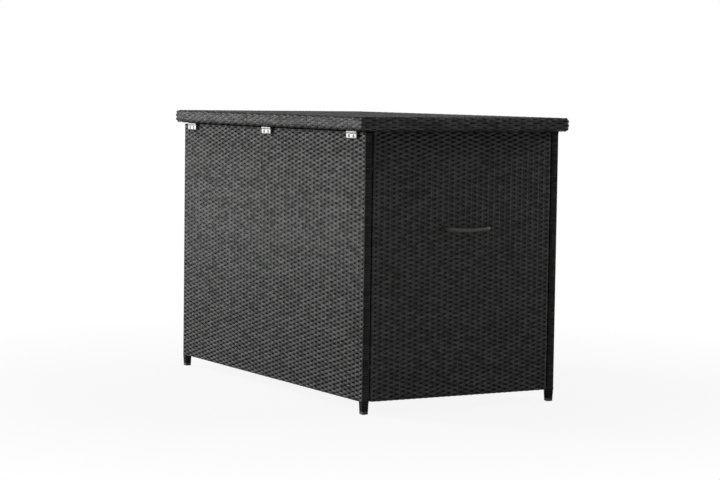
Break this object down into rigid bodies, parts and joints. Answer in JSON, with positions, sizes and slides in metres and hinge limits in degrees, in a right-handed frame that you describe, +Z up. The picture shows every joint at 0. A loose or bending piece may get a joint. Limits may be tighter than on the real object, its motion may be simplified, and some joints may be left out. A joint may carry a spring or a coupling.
{
  "type": "deck storage box",
  "caption": "Upright rectangular outdoor storage box of woven synthetic rattan over a tube frame, with an overhanging hinged lid on gas struts, carry handles and short legs.",
  "frame": {"origin": "On the ground, under the middle of the box, level with the bottoms of the feet.", "axes": "+X runs along the box to its right end as seen from the front, +Y to the hinged rear side, +Z up."},
  "size_m": [1.205, 0.673, 0.8],
  "materials": {
    "rattan": "flat strip of dyed polyethylene with a fine lengthwise grain",
    "handle_wrap": "steel bar wound with rattan strip",
    "frame_coat": "black powder coat",
    "hinge_steel": "bright stamped stainless steel",
    "fastener_zinc": "zinc-plated steel",
    "strut_black": "black painted cylinder",
    "strut_chrome": "hard-chromed rod",
    "strut_bracket": "zinc-plated pressed steel",
    "foot_plastic": "moulded black plastic",
    "spacer_nylon": "black nylon",
    "bumper_rubber": "soft black rubber"
  },
  "bodies": {
    "box": {"corner_bolts": "fastener_zinc", "corner_spacers": "spacer_nylon", "floor_bars": "frame_coat", "floor_weave": "rattan", "foot_caps": "foot_plastic", "front_bottom_rail": "frame_coat", "front_left_post": "frame_coat", "front_right_post": "frame_coat", "front_top_rail": "frame_coat", "front_upright": "frame_coat", "front_weave": "rattan", "handle_nuts": "fastener_zinc", "hinge_box_screws": "fastener_zinc", "hinge_left_lower_leaf": "hinge_steel", "hinge_middle_lower_leaf": "hinge_steel", "hinge_pins": "hinge_steel", "hinge_right_lower_leaf": "hinge_steel", "left_end_bottom_rail": "frame_coat", "left_end_handle_rail": "frame_coat", "left_end_stiles": "frame_coat", "left_end_top_rail": "frame_coat", "left_end_weave": "rattan", "left_handle": "handle_wrap", "rear_bottom_rail": "frame_coat", "rear_left_post": "frame_coat", "rear_right_post": "frame_coat", "rear_top_rail": "frame_coat", "rear_upright": "frame_coat", "rear_weave": "rattan", "right_end_bottom_rail": "frame_coat", "right_end_handle_rail": "frame_coat", "right_end_stiles": "frame_coat", "right_end_top_rail": "frame_coat", "right_end_weave": "rattan", "right_handle": "handle_wrap", "strut_box_brackets": "strut_bracket"},
    "lid": {"hinge_left_upper_leaf": "hinge_steel", "hinge_lid_screws": "fastener_zinc", "hinge_middle_upper_leaf": "hinge_steel", "hinge_right_upper_leaf": "hinge_steel", "lid_bumpers": "bumper_rubber", "lid_cross_bars": "frame_coat", "lid_front_rail": "frame_coat", "lid_front_rim": "frame_coat", "lid_left_rail": "frame_coat", "lid_left_rim": "frame_coat", "lid_rear_rail": "frame_coat", "lid_rear_rim": "frame_coat", "lid_right_rail": "frame_coat", "lid_right_rim": "frame_coat", "lid_weave": "rattan", "strut_lid_brackets": "strut_bracket"},
    "left_cylinder": {"left_strut_cylinder": "strut_black"},
    "left_rod": {"left_strut_rod": "strut_chrome"},
    "right_cylinder": {"right_strut_cylinder": "strut_black"},
    "right_rod": {"right_strut_rod": "strut_chrome"}
  },
  "joints": [
    {"name": "lid_hinge", "type": "hinge", "parent": "box", "child": "lid", "pos_m": [0, 0.3165, 0.7575], "axis": [-1, 0, 0], "range_deg": [0, 85]},
    {"name": "left_strut_tilt", "type": "hinge", "parent": "box", "child": "left_cylinder", "pos_m": [-0.53, 0.2315, 0.497], "axis": [-1, 0, 0], "range_deg": [0, 7.32]},
    {"name": "left_strut_slide", "type": "slide", "parent": "left_cylinder", "child": "left_rod", "axis": [0, 0.0418, 0.9991], "range_m": [0, 0.09901]},
    {"name": "right_strut_tilt", "type": "hinge", "parent": "box", "child": "right_cylinder", "pos_m": [0.53, 0.2315, 0.497], "axis": [-1, 0, 0], "range_deg": [0, 7.32]},
    {"name": "right_strut_slide", "type": "slide", "parent": "right_cylinder", "child": "right_rod", "axis": [0, 0.0418, 0.9991], "range_m": [0, 0.09901]}
  ],
  "couplings": [
    {"joint": "left_strut_tilt", "follows": "lid_hinge", "ratio": 0.08606},
    {"joint": "left_strut_slide", "follows": "lid_hinge", "m_per_rad": 0.066718},
    {"joint": "right_strut_tilt", "follows": "lid_hinge", "ratio": 0.08606},
    {"joint": "right_strut_slide", "follows": "lid_hinge", "m_per_rad": 0.066718}
  ]
}
